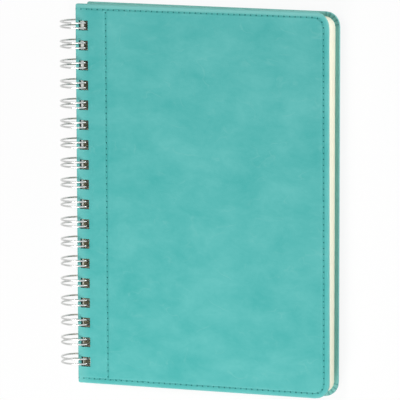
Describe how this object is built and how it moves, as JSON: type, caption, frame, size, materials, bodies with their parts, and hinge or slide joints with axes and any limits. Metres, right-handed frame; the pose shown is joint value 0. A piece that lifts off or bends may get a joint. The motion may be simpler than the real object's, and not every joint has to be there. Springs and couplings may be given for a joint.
{
  "type": "spiral notebook",
  "caption": "Turquoise faux leather notebook with stitched hard covers, rounded corners and cream leaves on a silver twin-loop wire, lying closed.",
  "frame": {"origin": "under the middle of the closed notebook, level with the lowest point of the wire", "axes": "X from the wire to the fore-edge, Y up the page, Z out of the front cover"},
  "size_m": [0.1872, 0.2443, 0.0236],
  "materials": {
    "faux_leather": "matte",
    "board": "matte",
    "lining_paper": "matte",
    "thread": "satin",
    "paper": "matte",
    "wire": "polished"
  },
  "bodies": {
    "root": {"wire_binding": "wire", "page_block": "paper"},
    "front_cover": {"front_wrap": "faux_leather", "front_board": "board", "front_lining": "lining_paper", "front_stitching": "thread"},
    "back_cover": {"back_wrap": "faux_leather", "back_board": "board", "back_lining": "lining_paper", "back_stitching": "thread"}
  },
  "joints": [
    {"name": "front_cover_hinge", "type": "hinge", "parent": "root", "child": "front_cover", "pos_m": [-0.08185, 0, 0.01179], "axis": [0, -1, 0], "range_deg": [0, 180]},
    {"name": "back_cover_hinge", "type": "hinge", "parent": "root", "child": "back_cover", "pos_m": [-0.08185, 0, 0.01179], "axis": [0, 1, 0], "range_deg": [0, 180]}
  ]
}
